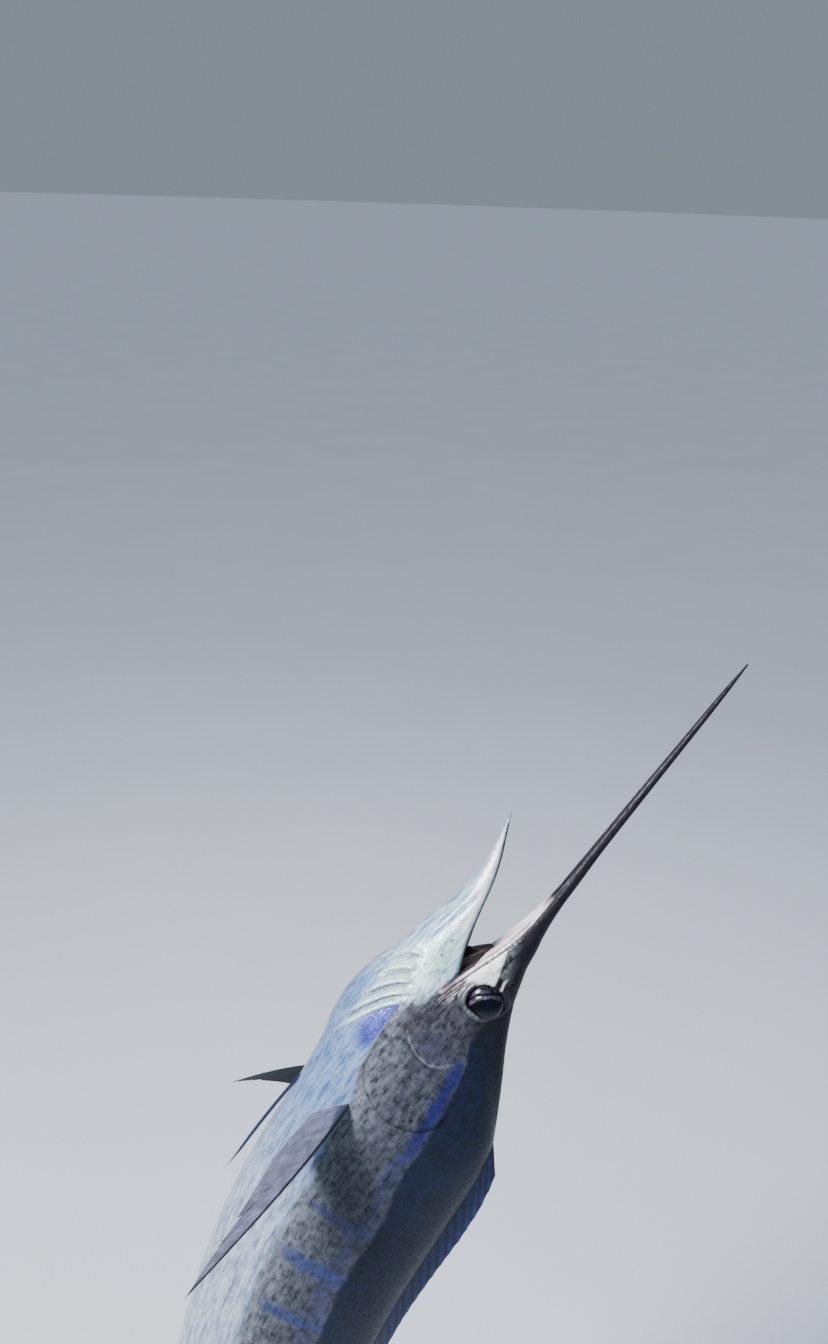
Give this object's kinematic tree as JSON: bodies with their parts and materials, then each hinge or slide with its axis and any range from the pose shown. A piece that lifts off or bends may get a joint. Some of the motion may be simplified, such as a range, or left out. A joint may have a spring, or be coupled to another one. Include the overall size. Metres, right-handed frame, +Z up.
{
  "type": "striped marlin",
  "caption": "Life-size striped marlin leaping with its mouth open and its back fin folded down, still, held over a flat base by two slanted rods",
  "frame": {"origin": "centre of the stand base's underside, on the floor", "axes": "+Z up; +X to the right in the picture, the way the bill leans; +Y level and away from the picture's camera"},
  "size_m": [1.5726, 1.1, 3.0273],
  "materials": {
    "bill_skin": "dark purple-brown wet skin over bone",
    "head_skin": "wet skin, navy-black crown over a bronze cheek",
    "jaw_skin": "wet silver-white skin with a thin dark rim",
    "throat_skin": "wet silvery skin in folds",
    "mouth_lining_skin": "wet dark lining",
    "gill_cover_skin": "wet bronze and cobalt skin",
    "trunk_front_skin": "wet skin, navy back, cobalt band, bronze-grey flank, silver belly",
    "trunk_mid_skin": "wet skin, navy back, pale bars, silver belly",
    "trunk_rear_skin": "wet skin, navy back, pale bars, silver belly",
    "tail_stem_skin": "wet dark skin with two keels on each side",
    "fin_skin": "blue-black fin skin over rays",
    "pale_fin_skin": "grey-violet fin skin over rays, dark edges",
    "eye_surface": "wet clear eye surface, dark pupil, silver-brown iris",
    "base_paint": "matt black paint on board",
    "rod_steel": "satin steel"
  },
  "bodies": {
    "root": {"bill": "bill_skin", "head": "head_skin", "lower_jaw": "jaw_skin", "throat": "throat_skin", "mouth_lining": "mouth_lining_skin", "eye_left": "eye_surface", "eye_right": "eye_surface", "gill_cover_left": "gill_cover_skin", "gill_cover_right": "gill_cover_skin", "trunk_front": "trunk_front_skin", "trunk_mid": "trunk_mid_skin", "trunk_rear": "trunk_rear_skin", "tail_stem": "tail_stem_skin", "dorsal_fin_first_front": "fin_skin", "dorsal_fin_first_mid": "fin_skin", "dorsal_fin_first_rear": "fin_skin", "dorsal_fin_second": "fin_skin", "anal_fin_first": "fin_skin", "anal_fin_second": "fin_skin", "pectoral_fin_left": "pale_fin_skin", "pectoral_fin_right": "pale_fin_skin", "pelvic_fin_left": "fin_skin", "pelvic_fin_right": "fin_skin", "caudal_fin_upper": "fin_skin", "caudal_fin_lower": "fin_skin", "stand_base": "base_paint", "stand_rod_left": "rod_steel", "stand_rod_right": "rod_steel"}
  },
  "joints": []
}
